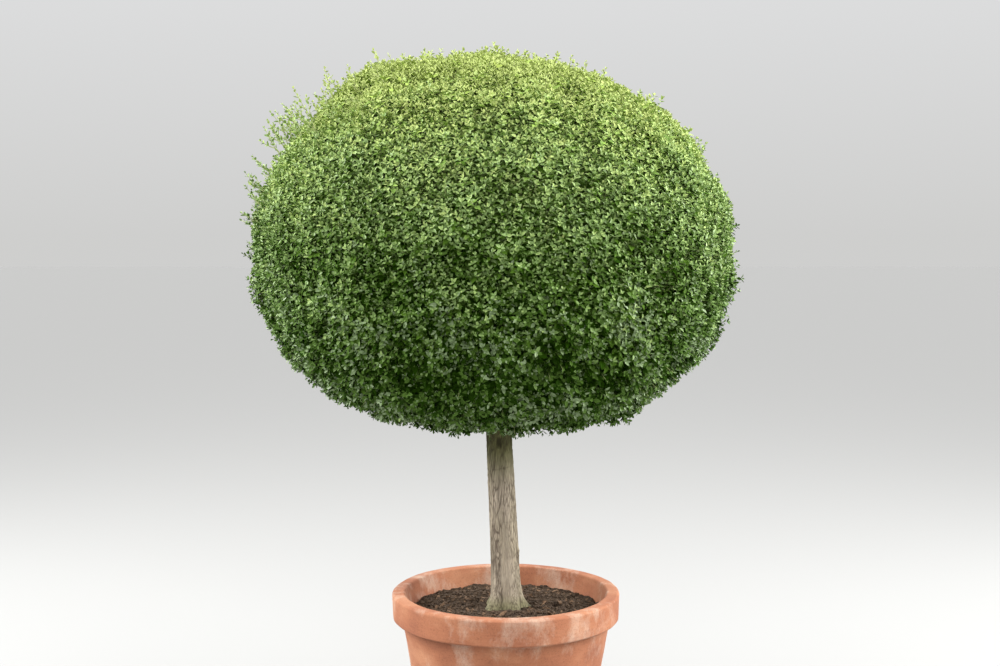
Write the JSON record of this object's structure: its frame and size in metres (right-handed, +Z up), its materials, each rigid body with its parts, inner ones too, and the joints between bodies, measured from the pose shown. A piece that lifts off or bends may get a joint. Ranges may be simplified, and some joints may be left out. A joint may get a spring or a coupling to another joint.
{
  "type": "potted privet ball topiary",
  "caption": "Small-leaved privet clipped to a ball on a clear, slightly leaning stem, in a plain terracotta pot, to stand beside a door, a path or on a patio.",
  "frame": {"origin": "centre of the pot's flat underside, on the surface that it stands on", "axes": "+Z up along the stem; +Y away from the viewer of the front, +X to the viewer's right, so the stem leans a little towards -X"},
  "size_m": [1.3318, 1.3295, 1.9778],
  "materials": {
    "terracotta": "unglazed, dry and slightly chalky, with paler bloom near the foot",
    "soil": "damp, crumbly potting compost with small bark chips",
    "bark": "thin tan-grey bark with fine long fissures, darker under the crown",
    "foliage": "small glossy leaves, yellow-green new growth on top, deep green below"
  },
  "bodies": {
    "root": {"pot": "terracotta", "soil": "soil", "trunk": "bark", "bough_1": "bark", "bough_2": "bark", "bough_3": "bark", "bough_4": "bark", "bough_5": "bark", "bough_6": "bark", "leader": "bark", "foliage": "foliage"}
  },
  "joints": []
}
